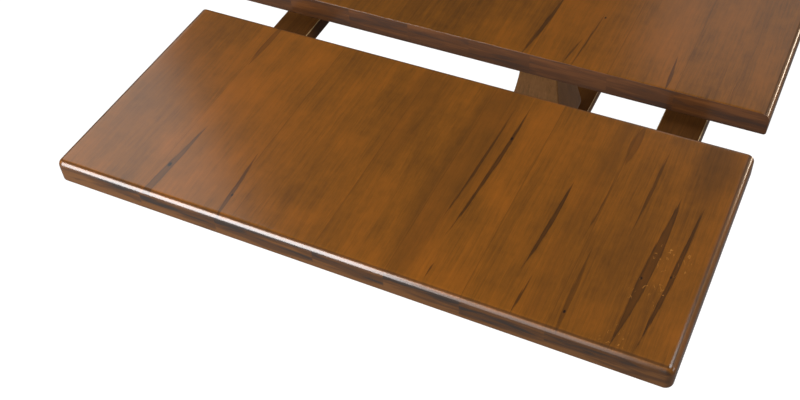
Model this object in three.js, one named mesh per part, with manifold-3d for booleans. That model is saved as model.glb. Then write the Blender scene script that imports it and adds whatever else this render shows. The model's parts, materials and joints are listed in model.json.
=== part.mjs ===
// Extendable trestle dining table, in millimetres, +Z up.
// The origin is on the floor, under the middle of the table; X runs along the table, Y across it.
// A fixed top stands on two trestles. At each end two wooden arms slide out from under the top and
// carry a loose end leaf, which is shown one hand's width short of the top.
import * as THREE from "three";
import { mergeVertices } from "three/addons/utils/BufferGeometryUtils.js";
import Module from "manifold-3d";

const wasm = await Module();
wasm.setup();

// ---------------------------------------------------------------- driving dimensions
const FIT = 0.3; // gap left between faces that touch
const RUN = 1; // running clearance on each side of a sliding arm

const TABLE_HEIGHT = 762;
const TOP_LENGTH = 1828.8;
const TOP_WIDTH = 1066.8;
const TOP_THICK = 44.45;
const UPPER_ROUND = 12.7; // round-over on the upper edge of the tops
const LOWER_ROUND = 5; // smaller round on the lower edge
const CORNER_RADIUS = 12; // outer corners of the leaves, in plan
const LEAF_DEPTH = 457.2;
const LEAF_GAP = 104; // between the top and the leaf, as shown

const BATTEN_THICK = 29;
const BATTEN_WIDTH = 80;
const BATTEN_OVERHANG = 50; // from a batten's end to the side of the top
const BATTEN_CHAMFER = 12;
const END_BATTEN_SETBACK = 44; // from the end of the top to the end batten
const INNER_BATTEN_SETBACK = 255; // from the end of the top to the inner batten
const LEAF_BATTEN_SETBACK = 45; // from the leaf's inner edge to its inner batten

const ARM_WIDTH = 76.2;
const ARM_THICK = 31.75;
const ARM_INSET = 103.3; // from the side of the top to the outer face of an arm
const ARM_LENGTH = 890;
const ARM_END_SETBACK = 70; // from the outer edge of the leaf to the end of the arm
const ARM_PAST_BATTEN = 20; // how far the arm runs on beyond the leaf's outer batten
const ARM_CHAMFER = 3;

const RAIL_THICK = 27;
const RAIL_LIP = 14; // how far the lip reaches under the arm
const RAIL_LIP_THICK = 12;
const RAIL_SETBACK = 96; // from the end of the top to the rails
const RAIL_LENGTH = 360;

const STOP_LENGTH = 60;
const STOP_INSET = 8; // stop block narrower than the arm, each side

const DOWEL_RADIUS = 6;
const DOWEL_HOLE_CLEARANCE = 0.5;
const DOWEL_ABOVE_ARM = 18;
const DOWEL_IN_ARM = 20;
const DOWEL_POINT_WIDTH = 2; // the dowel's tapered tip, across
const DOWEL_POINT_HEIGHT = 3;

const TRESTLE_SETBACK = 400; // from the end of the top to the middle of a trestle
const HEAD_CLEARANCE = 4; // from the head's ends to the inner rails
const HEAD_WIDTH = 120;
const HEAD_THICK = 44;
const HEAD_BEVEL = 60; // how far the underside slopes up at each end
const HEAD_END_THICK = 22;
const COLUMN_NECK_DROP = 4; // from the foot of the urn down to the plinth's chamfer
const COLUMN_BLOCK_RISE = 6; // from the top of the flare up to the block under the head

const PLINTH_HALF = 64;
const PLINTH_HEIGHT = 92;
const FOOT_HEIGHT = 90;
const FOOT_LENGTH = 760;
const FOOT_WIDTH = 140;
const FOOT_END_HEIGHT = 46;
const FOOT_FLAT_HALF = 100; // half of the level stretch that carries the column
const ARCH_HALF = 240;
const ARCH_RISE = 30;
const ARCH_PULL = 30; // how far the arch's steepest part stands in from its ends
const FOOT_NOSE = 14; // round on the upper corner of each end
const FOOT_SWEEP_START = 90; // how far the foot stays level beyond the column's seat
const FOOT_SWEEP_END = 110; // how far in from the end the foot levels out again
const FOOT_SWEEP_DROP = 4; // slope left in the foot near its end
const GLIDE_RADIUS = 20;
const GLIDE_HEIGHT = 6;
const GLIDE_CHAMFER = 2;
const GLIDE_Y = 325;

const STRETCHER_WIDTH = 130;
const STRETCHER_THICK = 28;
const STRETCHER_ABOVE_FOOT = 17.7;
const TENON_WIDTH = 64;
const TENON_PROUD = 38; // tenon beyond the outer face of the plinth
const WEDGE_THICK = 14;
const WEDGE_BELOW = 11; // below the underside of the stretcher
const WEDGE_ABOVE = 36; // above its upper face
const WEDGE_TOP_WIDTH = 22;
const WEDGE_FOOT_WIDTH = 15;

const SCREW_RADIUS = 4;
const SCREW_HEAD_RADIUS = 8;
const SCREW_HEAD_HEIGHT = 4;
const SCREW_HEAD_SPARE = 1; // room beside and above the screw's head
const SCREW_IN_TOP = 28;
const SCREW_FROM_HEAD_END = 107;
const BOLT_RADIUS = 5;
const BOLT_HEAD_RADIUS = 11;
const BOLT_HEAD_HEIGHT = 7;
const BOLT_HEAD_SIDES = 6;
const BOLT_HEAD_SINK = 3; // the bolt's head stands this far up inside its recess
const BOLT_HEAD_SPARE = 2; // room round the bolt's head
const BOLT_IN_COLUMN = 60;
const BOLT_Y = 48;
const HOLE_CLEARANCE = 0.4;
const HOLE_DEPTH_SPARE = 2; // a blind hole runs this far past the pin in it

const LATCH_PLATE_THICK = 3;
const LATCH_ARM_WIDTH = 22;
const LATCH_ARM_PAST_HOOK = 16; // from the middle of the hook's mouth to the end of the arm
const LATCH_CORNER = 6;
const LATCH_PIVOT_RADIUS = 4;
const LATCH_PIVOT_HEAD_RADIUS = 8;
const LATCH_PIVOT_HEAD_HEIGHT = 2.5;
const LATCH_PIVOT_IN_BATTEN = 18;
const LATCH_PIVOT_SETBACK = 20; // from the outer face of the end batten to the pivot
const CATCH_RADIUS = 3.5;
const CATCH_HEAD_RADIUS = 7;
const CATCH_HEAD_HEIGHT = 2.5;
const CATCH_IN_BATTEN = 18;
const CATCH_INSET = 22; // from the inner face of the leaf's inner batten to the catch
const LATCH_SLACK = 0.6; // side play of the hook round the catch

const ROUND_STEPS = 7;
const CURVE_STEPS = 12;
const CIRCLE_STEPS = 24;
const PAST = 1; // a cutting tool stands this far out of the faces it opens
const JOIN = 1; // a shank starts this far inside its head
const SAME_POINT = 1e-4; // vertices closer than this are one

// ---------------------------------------------------------------- levels worked out from them
const TOP_UNDERSIDE = TABLE_HEIGHT - TOP_THICK;
const BATTEN_TOP = TOP_UNDERSIDE - FIT;
const BATTEN_BOTTOM = BATTEN_TOP - BATTEN_THICK;
const ARM_TOP = BATTEN_BOTTOM - FIT;
const ARM_BOTTOM = ARM_TOP - ARM_THICK;
const RAIL_TOP = BATTEN_BOTTOM - FIT;
const RAIL_BOTTOM = ARM_BOTTOM - FIT - RAIL_LIP_THICK;
const HEAD_TOP = TOP_UNDERSIDE - FIT;
const HEAD_BOTTOM = HEAD_TOP - HEAD_THICK;
const COLUMN_TOP = HEAD_BOTTOM - FIT;
const FOOT_BOTTOM = GLIDE_HEIGHT + FIT;
const FOOT_TOP = FOOT_BOTTOM + FOOT_HEIGHT;
const COLUMN_BOTTOM = FOOT_TOP + FIT;
const PLINTH_TOP = COLUMN_BOTTOM + PLINTH_HEIGHT;
const TOP_END = TOP_LENGTH / 2;
const LEAF_INNER = TOP_END + LEAF_GAP;
const LEAF_OUTER = LEAF_INNER + LEAF_DEPTH;
const BATTEN_LENGTH = TOP_WIDTH - 2 * BATTEN_OVERHANG;
const ARM_OUTER = LEAF_OUTER - ARM_END_SETBACK;
const ARM_INNER = ARM_OUTER - ARM_LENGTH;
const TRESTLE_X = TOP_END - TRESTLE_SETBACK;
const STRETCHER_BOTTOM = FOOT_TOP + STRETCHER_ABOVE_FOOT;
const ARM_CENTRE_Y = TOP_WIDTH / 2 - ARM_INSET - ARM_WIDTH / 2;
const HEAD_HALF = ARM_CENTRE_Y - ARM_WIDTH / 2 - RUN - RAIL_THICK - HEAD_CLEARANCE;
const SCREW_Y = HEAD_HALF - SCREW_FROM_HEAD_END;
const INNER_BATTEN_X = TOP_END - INNER_BATTEN_SETBACK;
const SCREW_SEAT = HEAD_BOTTOM + SCREW_HEAD_HEIGHT + SCREW_HEAD_SPARE;
const BOLT_SEAT = FOOT_BOTTOM + ARCH_RISE + BOLT_HEAD_HEIGHT + BOLT_HEAD_SINK;

// ---------------------------------------------------------------- materials
const stainedMaple = new THREE.MeshStandardMaterial({ color: 0x7a4a22, roughness: 0.32 });
const baseMaple = new THREE.MeshStandardMaterial({ color: 0x6a4226, roughness: 0.4 });
const plainMaple = new THREE.MeshStandardMaterial({ color: 0xb98d5c, roughness: 0.55 });
const steel = new THREE.MeshStandardMaterial({ color: 0x9a9c9e, roughness: 0.35, metalness: 1 });
const nylon = new THREE.MeshStandardMaterial({ color: 0x1c1a18, roughness: 0.6 });

// ---------------------------------------------------------------- solids
// A geometry as a manifold-3d solid, with its shared vertices merged.
function solid(geometry) {
  const bare = geometry.index ? geometry.toNonIndexed() : geometry.clone();
  bare.deleteAttribute("normal");
  bare.deleteAttribute("uv");
  const merged = mergeVertices(bare, SAME_POINT);
  const vertProperties = new Float32Array(merged.attributes.position.array);
  const triVerts = new Uint32Array(merged.index.array);
  return new wasm.Manifold(new wasm.Mesh({ numProp: 3, vertProperties, triVerts }));
}

// A manifold-3d solid back as a geometry.
function geometryOf(made) {
  const { vertProperties, triVerts } = made.getMesh();
  const geometry = new THREE.BufferGeometry();
  geometry.setAttribute("position", new THREE.BufferAttribute(vertProperties, 3));
  geometry.setIndex(new THREE.BufferAttribute(triVerts, 1));
  return geometry;
}

// What is left of a body once each tool is taken out of it.
const cut = (body, ...tools) =>
  geometryOf(tools.reduce((left, tool) => left.subtract(solid(tool)), solid(body)));
const common = (body, other) => geometryOf(solid(body).intersect(solid(other)));

// A box between two corners.
function box([x0, y0, z0], [x1, y1, z1]) {
  return new THREE.BoxGeometry(x1 - x0, y1 - y0, z1 - z0)
    .translate((x0 + x1) / 2, (y0 + y1) / 2, (z0 + z1) / 2);
}

// An upright cylinder from z0 up to z1.
function post(x, y, z0, z1, radius, steps = CIRCLE_STEPS) {
  return new THREE.CylinderGeometry(radius, radius, z1 - z0, steps)
    .rotateX(Math.PI / 2)
    .translate(x, y, (z0 + z1) / 2);
}

// An outline drawn in X and Y, raised from z0 to z1, with an optional rounded rim.
function raise(outline, z0, z1, rim = 0) {
  return new THREE.ExtrudeGeometry(outline, {
    depth: z1 - z0 - 2 * rim,
    bevelEnabled: rim > 0,
    bevelThickness: rim,
    bevelSize: rim,
    bevelOffset: -rim,
    bevelSegments: ROUND_STEPS,
    curveSegments: ROUND_STEPS,
  }).translate(0, 0, z0 + rim);
}

// An outline drawn in Y and Z, pushed along X from x0 to x1.
function along(outline, x0, x1) {
  return new THREE.ExtrudeGeometry(outline, {
    depth: x1 - x0,
    bevelEnabled: false,
    curveSegments: CURVE_STEPS,
  })
    .rotateX(Math.PI / 2)
    .rotateZ(Math.PI / 2)
    .translate(x0, 0, 0);
}

function polygon(points) {
  return new THREE.Shape(points.map(([u, v]) => new THREE.Vector2(u, v)));
}

// A rectangle with round corners, between two corners.
function roundedRectangle(x0, y0, x1, y1, r) {
  const outline = new THREE.Shape();
  outline.moveTo(x0 + r, y0);
  outline.lineTo(x1 - r, y0);
  outline.absarc(x1 - r, y0 + r, r, -Math.PI / 2, 0);
  outline.lineTo(x1, y1 - r);
  outline.absarc(x1 - r, y1 - r, r, 0, Math.PI / 2);
  outline.lineTo(x0 + r, y1);
  outline.absarc(x0 + r, y1 - r, r, Math.PI / 2, Math.PI);
  outline.lineTo(x0, y0 + r);
  outline.absarc(x0 + r, y0 + r, r, Math.PI, 1.5 * Math.PI);
  return outline;
}

// ---------------------------------------------------------------- tops
// A slab of the top's section from x0 to x1. Its long sides are rounded over; an end that mates
// with another slab is left square by sawing it off a longer, fully rounded blank.
function slab(x0, x1, roundInner, roundOuter) {
  const spare = 2 * CORNER_RADIUS + 2 * UPPER_ROUND;
  const from = roundInner ? x0 : x0 - spare;
  const to = roundOuter ? x1 : x1 + spare;
  const half = TOP_WIDTH / 2;
  const radius = Math.max(CORNER_RADIUS, UPPER_ROUND + FIT);
  const outline = roundedRectangle(from, -half, to, half, radius);
  const low = TOP_UNDERSIDE - 2 * UPPER_ROUND;
  const high = TABLE_HEIGHT + 2 * LOWER_ROUND;
  const blank = common(
    raise(outline, low, TABLE_HEIGHT, UPPER_ROUND),
    raise(outline, TOP_UNDERSIDE, high, LOWER_ROUND),
  );
  return common(blank, box([x0, -TOP_WIDTH, 0], [x1, TOP_WIDTH, 2 * TABLE_HEIGHT]));
}

function tableTop() {
  const screwHoles = [];
  for (const x of [-TRESTLE_X, TRESTLE_X]) {
    for (const y of [-SCREW_Y, SCREW_Y]) {
      const top = TOP_UNDERSIDE + SCREW_IN_TOP + HOLE_DEPTH_SPARE;
      screwHoles.push(post(x, y, TOP_UNDERSIDE - PAST, top, SCREW_RADIUS + HOLE_CLEARANCE));
    }
  }
  return cut(slab(-TOP_END, TOP_END, false, false), ...screwHoles);
}

// A batten across the table, with the lower corners of its ends taken off.
function batten(xMiddle, holes = []) {
  const half = BATTEN_LENGTH / 2;
  const outline = polygon([
    [-half, BATTEN_TOP],
    [-half, BATTEN_BOTTOM + BATTEN_CHAMFER],
    [-half + BATTEN_CHAMFER, BATTEN_BOTTOM],
    [half - BATTEN_CHAMFER, BATTEN_BOTTOM],
    [half, BATTEN_BOTTOM + BATTEN_CHAMFER],
    [half, BATTEN_TOP],
  ]);
  const plain = along(outline, xMiddle - BATTEN_WIDTH / 2, xMiddle + BATTEN_WIDTH / 2);
  return holes.length ? cut(plain, ...holes) : plain;
}

// ---------------------------------------------------------------- trestle
// Half-width of the square column, and where along its height from the plinth to the head: a round
// urn, a long taper to a slim neck, and a flare to the block under the head.
const COLUMN_PROFILE = [
  [42, 0.025],
  [50, 0.041],
  [61, 0.072],
  [69, 0.107],
  [72, 0.138],
  [69.5, 0.173],
  [64, 0.227],
  [57, 0.295],
  [50.5, 0.365],
  [46, 0.43],
  [43.5, 0.506],
  [43, 0.6],
  [45, 0.712],
  [50, 0.826],
  [58, 0.908],
];
const COLUMN_BLOCK_HALF = 66;
const COLUMN_SHOULDER = 14; // the plinth's chamfer, across
const COLUMN_PROFILE_STEPS = 34;
const COLUMN_SIDES = 4;

// A square column whose four sides all follow one profile: a lathe of four sides.
function column(x) {
  const height = COLUMN_TOP - PLINTH_TOP;
  const points = COLUMN_PROFILE.map(([half, up]) => new THREE.Vector2(half, PLINTH_TOP + up * height));
  const curve = new THREE.SplineCurve(points);
  const profile = [
    new THREE.Vector2(0, COLUMN_BOTTOM),
    new THREE.Vector2(PLINTH_HALF, COLUMN_BOTTOM),
    new THREE.Vector2(PLINTH_HALF, PLINTH_TOP),
    new THREE.Vector2(PLINTH_HALF - COLUMN_SHOULDER, points[0].y - COLUMN_NECK_DROP),
    ...curve.getSpacedPoints(COLUMN_PROFILE_STEPS),
    new THREE.Vector2(COLUMN_BLOCK_HALF, points.at(-1).y + COLUMN_BLOCK_RISE),
    new THREE.Vector2(COLUMN_BLOCK_HALF, COLUMN_TOP),
    new THREE.Vector2(0, COLUMN_TOP),
  ].map((p) => new THREE.Vector2(p.x * Math.SQRT2, p.y));
  const square = new THREE.LatheGeometry(profile, COLUMN_SIDES)
    .rotateX(Math.PI / 2)
    .rotateZ(Math.PI / COLUMN_SIDES)
    .translate(x, 0, 0);
  const mortise = box(
    [x - PLINTH_HALF - PAST, -TENON_WIDTH / 2 - FIT, STRETCHER_BOTTOM - FIT],
    [x + PLINTH_HALF + PAST, TENON_WIDTH / 2 + FIT, STRETCHER_BOTTOM + STRETCHER_THICK + FIT],
  );
  const boltHoleTop = COLUMN_BOTTOM + BOLT_IN_COLUMN + HOLE_DEPTH_SPARE;
  const boltHoles = [-BOLT_Y, BOLT_Y].map((y) =>
    post(x, y, COLUMN_BOTTOM - PAST, boltHoleTop, BOLT_RADIUS + HOLE_CLEARANCE),
  );
  return cut(square, mortise, ...boltHoles);
}

// The bar across the top of a column, screwed up into the table top.
function head(x) {
  const half = HEAD_HALF;
  const outline = polygon([
    [-half, HEAD_TOP],
    [-half, HEAD_TOP - HEAD_END_THICK],
    [-half + HEAD_BEVEL, HEAD_BOTTOM],
    [half - HEAD_BEVEL, HEAD_BOTTOM],
    [half, HEAD_TOP - HEAD_END_THICK],
    [half, HEAD_TOP],
  ]);
  const holes = [-SCREW_Y, SCREW_Y].flatMap((y) => [
    post(x, y, HEAD_BOTTOM - PAST, HEAD_TOP + PAST, SCREW_RADIUS + HOLE_CLEARANCE),
    post(x, y, HEAD_BOTTOM - PAST, SCREW_SEAT, SCREW_HEAD_RADIUS + SCREW_HEAD_SPARE),
  ]);
  return cut(along(outline, x - HEAD_WIDTH / 2, x + HEAD_WIDTH / 2), ...holes);
}

// The foot: a level middle, ends that sweep down, and an arch cut from the underside.
function foot(x) {
  const half = FOOT_LENGTH / 2;
  const tip = FOOT_BOTTOM + FOOT_END_HEIGHT;
  const low = tip + FOOT_SWEEP_DROP;
  const shoulder = FOOT_FLAT_HALF + FOOT_SWEEP_START;
  const toe = half - FOOT_SWEEP_END;
  const nose = half - FOOT_NOSE;
  const crown = FOOT_BOTTOM + ARCH_RISE;
  const haunch = ARCH_HALF - ARCH_PULL;
  const outline = new THREE.Shape();
  outline.moveTo(-FOOT_FLAT_HALF, FOOT_TOP);
  outline.bezierCurveTo(-shoulder, FOOT_TOP, -toe, low, -nose, tip);
  outline.quadraticCurveTo(-half, tip, -half, tip - FOOT_NOSE);
  outline.lineTo(-half, FOOT_BOTTOM);
  outline.lineTo(-ARCH_HALF, FOOT_BOTTOM);
  outline.quadraticCurveTo(-haunch, crown, 0, crown);
  outline.quadraticCurveTo(haunch, crown, ARCH_HALF, FOOT_BOTTOM);
  outline.lineTo(half, FOOT_BOTTOM);
  outline.lineTo(half, tip - FOOT_NOSE);
  outline.quadraticCurveTo(half, tip, nose, tip);
  outline.bezierCurveTo(toe, low, shoulder, FOOT_TOP, FOOT_FLAT_HALF, FOOT_TOP);
  outline.closePath();
  const holes = [-BOLT_Y, BOLT_Y].flatMap((y) => [
    post(x, y, 0, FOOT_TOP + PAST, BOLT_RADIUS + HOLE_CLEARANCE),
    post(x, y, 0, BOLT_SEAT, BOLT_HEAD_RADIUS + BOLT_HEAD_SPARE),
  ]);
  return cut(along(outline, x - FOOT_WIDTH / 2, x + FOOT_WIDTH / 2), ...holes);
}

// A round pin standing on its head, which bears up against a seat.
function headedPin(x, y, seat, tip, radius, headRadius, headHeight, headSides = CIRCLE_STEPS) {
  return geometryOf(
    solid(post(x, y, seat - headHeight, seat, headRadius, headSides)).add(
      solid(post(x, y, seat - JOIN, tip, radius)),
    ),
  );
}

function headScrew(x, y) {
  const tip = TOP_UNDERSIDE + SCREW_IN_TOP;
  return headedPin(
    x, y, SCREW_SEAT - FIT, tip, SCREW_RADIUS, SCREW_HEAD_RADIUS, SCREW_HEAD_HEIGHT,
  );
}

function footBolt(x, y) {
  const tip = COLUMN_BOTTOM + BOLT_IN_COLUMN;
  return headedPin(
    x, y, BOLT_SEAT - FIT, tip, BOLT_RADIUS, BOLT_HEAD_RADIUS, BOLT_HEAD_HEIGHT, BOLT_HEAD_SIDES,
  );
}

function glide(x, y) {
  const profile = [
    [0, 0],
    [GLIDE_RADIUS - GLIDE_CHAMFER, 0],
    [GLIDE_RADIUS, GLIDE_CHAMFER],
    [GLIDE_RADIUS, GLIDE_HEIGHT],
    [0, GLIDE_HEIGHT],
  ].map(([r, z]) => new THREE.Vector2(r, z));
  return new THREE.LatheGeometry(profile, CIRCLE_STEPS).rotateX(Math.PI / 2).translate(x, y, 0);
}

// ---------------------------------------------------------------- stretcher
const PLINTH_INNER_X = TRESTLE_X - PLINTH_HALF;
const PLINTH_OUTER_X = TRESTLE_X + PLINTH_HALF;

// The wedge's outer face slopes, so that it tightens as it is knocked down.
function wedgeOutline(play) {
  const near = PLINTH_OUTER_X + FIT - play;
  const z0 = STRETCHER_BOTTOM - WEDGE_BELOW;
  const z1 = STRETCHER_BOTTOM + STRETCHER_THICK + WEDGE_ABOVE;
  return polygon([
    [near, z0],
    [near + WEDGE_FOOT_WIDTH + 2 * play, z0],
    [near + WEDGE_TOP_WIDTH + 2 * play, z1],
    [near, z1],
  ]);
}

// An outline drawn in X and Z, pushed along Y, centred on Y = 0.
function across(outline, width) {
  return new THREE.ExtrudeGeometry(outline, { depth: width, bevelEnabled: false })
    .rotateX(Math.PI / 2)
    .translate(0, width / 2, 0);
}

function stretcher() {
  const shoulder = PLINTH_INNER_X - FIT;
  const end = PLINTH_OUTER_X + TENON_PROUD;
  const wide = STRETCHER_WIDTH / 2;
  const narrow = TENON_WIDTH / 2;
  const plan = polygon([
    [-end, -narrow],
    [-shoulder, -narrow],
    [-shoulder, -wide],
    [shoulder, -wide],
    [shoulder, -narrow],
    [end, -narrow],
    [end, narrow],
    [shoulder, narrow],
    [shoulder, wide],
    [-shoulder, wide],
    [-shoulder, narrow],
    [-end, narrow],
  ]);
  const board = raise(plan, STRETCHER_BOTTOM, STRETCHER_BOTTOM + STRETCHER_THICK);
  const slot = across(wedgeOutline(FIT), WEDGE_THICK + 2 * FIT);
  return cut(board, slot, slot.clone().rotateZ(Math.PI));
}

// ---------------------------------------------------------------- arms and their rails
// A bar along X with its four long edges and its ends' upper edges eased by a small chamfer.
function arm(y) {
  const half = ARM_WIDTH / 2;
  const c = ARM_CHAMFER;
  const outline = polygon([
    [-half + c, ARM_BOTTOM],
    [half - c, ARM_BOTTOM],
    [half, ARM_BOTTOM + c],
    [half, ARM_TOP - c],
    [half - c, ARM_TOP],
    [-half + c, ARM_TOP],
    [-half, ARM_TOP - c],
    [-half, ARM_BOTTOM + c],
  ]);
  const bar = along(outline, ARM_INNER, ARM_OUTER).translate(0, y, 0);
  const hole = post(DOWEL_X, y, ARM_TOP - DOWEL_IN_ARM - FIT, ARM_TOP + PAST, DOWEL_RADIUS + FIT);
  return cut(bar, hole);
}

const LEAF_OUTER_BATTEN_X = ARM_OUTER - ARM_PAST_BATTEN - BATTEN_WIDTH / 2;
const LEAF_INNER_BATTEN_X = LEAF_INNER + LEAF_BATTEN_SETBACK + BATTEN_WIDTH / 2;
const DOWEL_X = LEAF_OUTER_BATTEN_X;

function dowel(y) {
  const profile = [
    [0, ARM_TOP - DOWEL_IN_ARM],
    [DOWEL_RADIUS, ARM_TOP - DOWEL_IN_ARM],
    [DOWEL_RADIUS, ARM_TOP + DOWEL_ABOVE_ARM - DOWEL_POINT_HEIGHT],
    [DOWEL_RADIUS - DOWEL_POINT_WIDTH, ARM_TOP + DOWEL_ABOVE_ARM],
    [0, ARM_TOP + DOWEL_ABOVE_ARM],
  ].map(([r, z]) => new THREE.Vector2(r, z));
  return new THREE.LatheGeometry(profile, CIRCLE_STEPS).rotateX(Math.PI / 2).translate(DOWEL_X, y, 0);
}

// The block on the arm's inner end. It meets the inner batten when the arm is fully out.
function stopBlock(y) {
  const outer = INNER_BATTEN_X - BATTEN_WIDTH / 2 - FIT;
  const half = ARM_WIDTH / 2 - STOP_INSET;
  return box(
    [outer - STOP_LENGTH, y - half, ARM_TOP + FIT],
    [outer, y + half, TOP_UNDERSIDE - RUN],
  );
}

// A rail beside an arm, hung from the battens, with a lip that carries the arm.
function rail(y, away) {
  const face = y + away * (ARM_WIDTH / 2 + RUN);
  const back = face + away * RAIL_THICK;
  const lip = y + away * (ARM_WIDTH / 2 - RAIL_LIP);
  const points = [
    [back, RAIL_BOTTOM],
    [back, RAIL_TOP],
    [face, RAIL_TOP],
    [face, RAIL_BOTTOM + RAIL_LIP_THICK],
    [lip, RAIL_BOTTOM + RAIL_LIP_THICK],
    [lip, RAIL_BOTTOM],
  ];
  const outline = polygon(away > 0 ? points.reverse() : points);
  const outer = TOP_END - RAIL_SETBACK;
  return along(outline, outer - RAIL_LENGTH, outer);
}

// ---------------------------------------------------------------- latch
const END_BATTEN_X = TOP_END - END_BATTEN_SETBACK - BATTEN_WIDTH / 2;
const LATCH_X = END_BATTEN_X + BATTEN_WIDTH / 2 - LATCH_PIVOT_SETBACK;
const CATCH_X = LEAF_INNER + LEAF_BATTEN_SETBACK + CATCH_INSET;
const LATCH_REACH = CATCH_X - LEAF_GAP + FIT - LATCH_X; // pivot to catch once the leaf is home
const LATCH_TOP = BATTEN_BOTTOM - FIT;
const LATCH_BOTTOM = LATCH_TOP - LATCH_PLATE_THICK;

// The latch arm as stowed, along -Y. It swings a quarter turn to reach the catch; the hook's mouth
// opens on the side that leads.
function latchArm() {
  const half = LATCH_ARM_WIDTH / 2;
  const end = -LATCH_REACH - LATCH_ARM_PAST_HOOK;
  const plan = roundedRectangle(-half, end, half, half, LATCH_CORNER);
  const bore = LATCH_PIVOT_RADIUS + HOLE_CLEARANCE;
  const gap = CATCH_RADIUS + LATCH_SLACK;
  const above = LATCH_PLATE_THICK + PAST;
  const plate = raise(plan, 0, LATCH_PLATE_THICK);
  const eye = post(0, 0, -PAST, above, bore);
  const seat = post(0, -LATCH_REACH, -PAST, above, gap);
  const mouth = box([0, -LATCH_REACH - gap, -PAST], [half + PAST, -LATCH_REACH + gap, above]);
  return cut(plate, eye, seat, mouth).translate(LATCH_X, 0, LATCH_BOTTOM);
}

// ---------------------------------------------------------------- assembly
const table = new THREE.Group();

function place(group, name, geometry, material) {
  const mesh = new THREE.Mesh(geometry, material);
  mesh.name = name;
  group.add(mesh);
}

place(table, "table_top", tableTop(), stainedMaple);
place(table, "centre_batten", batten(0), plainMaple);
place(table, "stretcher", stretcher(), baseMaple);

// Each end is built pointing along +X. The left end is the same, turned half round.
const SIDES = { right: ["front", "back"], left: ["back", "front"] };

function buildEnd(end) {
  const group = new THREE.Group();
  group.rotation.z = end === "left" ? Math.PI : 0;

  const pivotHole = post(
    LATCH_X, 0, BATTEN_BOTTOM - PAST, BATTEN_BOTTOM + LATCH_PIVOT_IN_BATTEN + HOLE_DEPTH_SPARE,
    LATCH_PIVOT_RADIUS + HOLE_CLEARANCE,
  );
  const catchHole = post(
    CATCH_X, 0, BATTEN_BOTTOM - PAST, BATTEN_BOTTOM + CATCH_IN_BATTEN + HOLE_DEPTH_SPARE,
    CATCH_RADIUS + HOLE_CLEARANCE,
  );
  const dowelHoles = [-ARM_CENTRE_Y, ARM_CENTRE_Y].map((y) =>
    post(
      DOWEL_X, y, BATTEN_BOTTOM - PAST, BATTEN_TOP + PAST, DOWEL_RADIUS + DOWEL_HOLE_CLEARANCE,
    ),
  );
  place(group, `${end}_end_batten`, batten(END_BATTEN_X, [pivotHole]), plainMaple);
  place(group, `${end}_inner_batten`, batten(INNER_BATTEN_X), plainMaple);
  place(group, `${end}_leaf`, slab(LEAF_INNER, LEAF_OUTER, false, true), stainedMaple);
  place(group, `${end}_leaf_inner_batten`, batten(LEAF_INNER_BATTEN_X, [catchHole]), plainMaple);
  place(group, `${end}_leaf_outer_batten`, batten(LEAF_OUTER_BATTEN_X, dowelHoles), plainMaple);

  SIDES[end].forEach((side, i) => {
    const y = i === 0 ? -ARM_CENTRE_Y : ARM_CENTRE_Y;
    const outward = Math.sign(y);
    place(group, `${end}_${side}_arm`, arm(y), baseMaple);
    place(group, `${end}_${side}_arm_stop`, stopBlock(y), plainMaple);
    place(group, `${end}_${side}_leaf_dowel`, dowel(y), plainMaple);
    place(group, `${end}_${side}_outer_rail`, rail(y, outward), plainMaple);
    place(group, `${end}_${side}_inner_rail`, rail(y, -outward), plainMaple);
    place(group, `${end}_${side}_glide`, glide(TRESTLE_X, Math.sign(y) * GLIDE_Y), nylon);
    place(group, `${end}_${side}_head_screw`, headScrew(TRESTLE_X, Math.sign(y) * SCREW_Y), steel);
    place(group, `${end}_${side}_foot_bolt`, footBolt(TRESTLE_X, Math.sign(y) * BOLT_Y), steel);
  });

  place(group, `${end}_trestle_head`, head(TRESTLE_X), baseMaple);
  place(group, `${end}_column`, column(TRESTLE_X), baseMaple);
  place(group, `${end}_foot`, foot(TRESTLE_X), baseMaple);
  place(group, `${end}_stretcher_wedge`, across(wedgeOutline(0), WEDGE_THICK), baseMaple);

  place(group, `${end}_latch_arm`, latchArm(), steel);
  place(group, `${end}_latch_pivot`, headedPin(
    LATCH_X, 0, LATCH_BOTTOM - FIT, BATTEN_BOTTOM + LATCH_PIVOT_IN_BATTEN,
    LATCH_PIVOT_RADIUS, LATCH_PIVOT_HEAD_RADIUS, LATCH_PIVOT_HEAD_HEIGHT,
  ), steel);
  place(group, `${end}_latch_catch`, headedPin(
    CATCH_X, 0, LATCH_BOTTOM - FIT, BATTEN_BOTTOM + CATCH_IN_BATTEN,
    CATCH_RADIUS, CATCH_HEAD_RADIUS, CATCH_HEAD_HEIGHT,
  ), steel);
  return group;
}

table.add(buildEnd("right"), buildEnd("left"));

export default table;
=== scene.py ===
# %% [markdown]
# # An extendable dining table
#
# A solid wood trestle table, seen from above one end. A loose leaf stands a hand's width off the
# fixed top, on two arms that slide out from under it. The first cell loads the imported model. Every
# piece made below takes its place from the nodes of that model, so nothing has to be fitted.

# %% Load the frame
import json
import math

import bpy
import numpy as np
from mathutils import Matrix, Vector

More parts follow.
